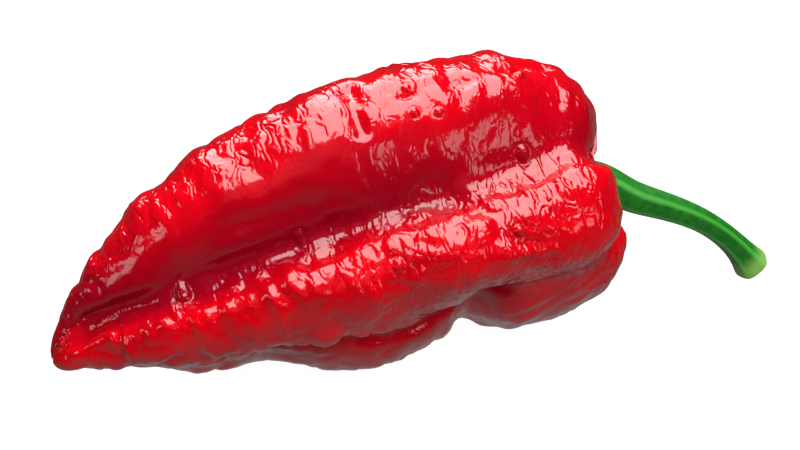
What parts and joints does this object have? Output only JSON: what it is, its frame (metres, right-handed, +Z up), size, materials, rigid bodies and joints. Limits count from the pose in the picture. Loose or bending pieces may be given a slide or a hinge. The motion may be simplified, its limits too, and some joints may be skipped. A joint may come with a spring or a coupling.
{
  "type": "ghost pepper",
  "caption": "Ripe ghost pepper lying on its side: a deeply lobed tapering pod with a calyx sunk in its crown and a ribbed green stalk that droops.",
  "frame": {"origin": "middle of the pepper's footprint, on the surface it lies on", "axes": "+Z up, +X from the pod's blossom end towards the stalk, +Y away from the side with the long furrow"},
  "size_m": [0.0798, 0.0284, 0.0317],
  "materials": {
    "skin": "ripe red pepper skin, glossy and wrinkled",
    "calyx": "green calyx, leathery",
    "stalk": "fresh green stalk with a satin sheen"
  },
  "bodies": {
    "root": {"pod": "skin", "calyx": "calyx", "stalk": "stalk"}
  },
  "joints": []
}
